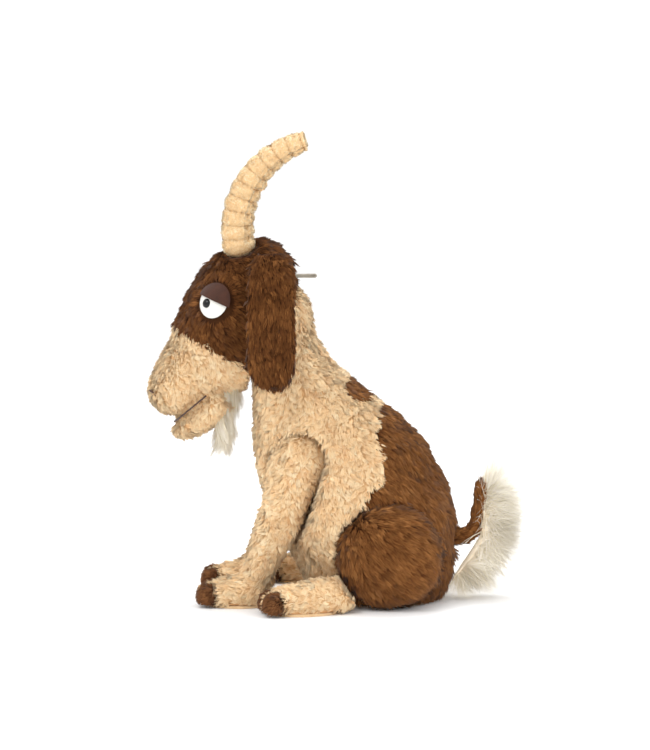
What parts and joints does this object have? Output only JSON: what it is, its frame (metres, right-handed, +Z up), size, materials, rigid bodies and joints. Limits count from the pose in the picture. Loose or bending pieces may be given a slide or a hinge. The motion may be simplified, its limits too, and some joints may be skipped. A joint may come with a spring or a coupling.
{
  "type": "seated plush goat",
  "caption": "Seated soft toy goat in brown and cream plush with needlecord horns, hanging ears, a beard and a tufted tail.",
  "frame": {"origin": "on the surface that the toy sits on, at the middle of its outer box", "axes": "+Z up, -Y the way the toy faces, +X to the toy's left"},
  "size_m": [0.1966, 0.2791, 0.3505],
  "materials": {
    "cream_plush": "matte",
    "brown_plush": "matte",
    "toe_plush": "matte",
    "ivory_pile": "matte",
    "needlecord": "matte",
    "horn_back": "matte",
    "stuffing": "matte",
    "pellet_bag": "matte",
    "eye_white": "gloss",
    "pupil": "gloss",
    "eyelid": "matte",
    "washer": "matte",
    "thread": "matte",
    "label": "matte"
  },
  "bodies": {
    "torso": {"body_cover_cream": "cream_plush", "body_cover_brown": "brown_plush", "back_spot": "brown_plush", "base_panel": "cream_plush", "body_stuffing": "stuffing", "pellet_bag": "pellet_bag"},
    "head": {"head_cover": "brown_plush", "muzzle_cover": "cream_plush", "chin_cover": "cream_plush", "head_stuffing": "stuffing", "beard": "ivory_pile", "mouth_thread": "thread", "nostril_threads": "thread", "sewn_label": "label", "left_eye_white": "eye_white", "left_pupil": "pupil", "left_eyelid": "eyelid", "left_eye_washer": "washer", "right_eye_white": "eye_white", "right_pupil": "pupil", "right_eyelid": "eyelid", "right_eye_washer": "washer"},
    "tail": {"tail_cover": "brown_plush", "tail_tuft": "ivory_pile", "tail_stuffing": "stuffing"},
    "left_ear": {"left_ear_outer": "brown_plush", "left_ear_lining": "brown_plush"},
    "left_horn": {"left_horn_cover": "needlecord", "left_horn_back": "horn_back", "left_horn_stuffing": "stuffing"},
    "left_front_leg": {"left_front_leg_cover": "cream_plush", "left_front_leg_sole": "cream_plush", "left_front_leg_toes": "toe_plush", "left_front_leg_stuffing": "stuffing"},
    "left_hind_leg": {"left_thigh_cover": "brown_plush", "left_thigh_stuffing": "stuffing", "left_hind_foot_cover": "cream_plush", "left_hind_foot_sole": "cream_plush", "left_hind_foot_toes": "toe_plush", "left_hind_foot_stuffing": "stuffing"},
    "right_ear": {"right_ear_outer": "brown_plush", "right_ear_lining": "brown_plush"},
    "right_horn": {"right_horn_cover": "needlecord", "right_horn_back": "horn_back", "right_horn_stuffing": "stuffing"},
    "right_front_leg": {"right_front_leg_cover": "cream_plush", "right_front_leg_sole": "cream_plush", "right_front_leg_toes": "toe_plush", "right_front_leg_stuffing": "stuffing"},
    "right_hind_leg": {"right_thigh_cover": "brown_plush", "right_thigh_stuffing": "stuffing", "right_hind_foot_cover": "cream_plush", "right_hind_foot_sole": "cream_plush", "right_hind_foot_toes": "toe_plush", "right_hind_foot_stuffing": "stuffing"}
  },
  "joints": [
    {"name": "neck_nod", "type": "hinge", "parent": "torso", "child": "head", "pos_m": [0, -0.04329, 0.212], "axis": [1, 0, 0], "range_deg": [-18, 5], "stiffness_Nm_per_rad": 6},
    {"name": "left_ear_lift", "type": "hinge", "parent": "head", "child": "left_ear", "pos_m": [0.034, -0.04529, 0.259], "axis": [0, -1, 0], "range_deg": [0, 70]},
    {"name": "left_horn_bend", "type": "hinge", "parent": "head", "child": "left_horn", "pos_m": [0.018, -0.07029, 0.268], "axis": [1, 0, 0], "range_deg": [-12, 12], "stiffness_Nm_per_rad": 1},
    {"name": "left_front_leg_swing", "type": "hinge", "parent": "torso", "child": "left_front_leg", "pos_m": [0.039, -0.0235, 0.11], "axis": [-1, 0, 0], "range_deg": [0, 17], "stiffness_Nm_per_rad": 1.5},
    {"name": "left_hind_leg_lift", "type": "hinge", "parent": "torso", "child": "left_hind_leg", "pos_m": [0.064, 0.0405, 0.04], "axis": [-1, 0, 0], "range_deg": [0, 25], "stiffness_Nm_per_rad": 1.5},
    {"name": "right_ear_lift", "type": "hinge", "parent": "head", "child": "right_ear", "pos_m": [-0.034, -0.04529, 0.259], "axis": [0, 1, 0], "range_deg": [0, 70]},
    {"name": "right_horn_bend", "type": "hinge", "parent": "head", "child": "right_horn", "pos_m": [-0.018, -0.07029, 0.268], "axis": [1, 0, 0], "range_deg": [-12, 12], "stiffness_Nm_per_rad": 1},
    {"name": "right_front_leg_swing", "type": "hinge", "parent": "torso", "child": "right_front_leg", "pos_m": [-0.039, -0.0235, 0.11], "axis": [-1, 0, 0], "range_deg": [0, 17], "stiffness_Nm_per_rad": 1.5},
    {"name": "right_hind_leg_lift", "type": "hinge", "parent": "torso", "child": "right_hind_leg", "pos_m": [-0.064, 0.0405, 0.04], "axis": [-1, 0, 0], "range_deg": [0, 25], "stiffness_Nm_per_rad": 1.5},
    {"name": "tail_wag", "type": "hinge", "parent": "torso", "child": "tail", "pos_m": [0, 0.09102, 0.046], "axis": [0, 0, 1], "range_deg": [-22, 22], "stiffness_Nm_per_rad": 0.5}
  ]
}
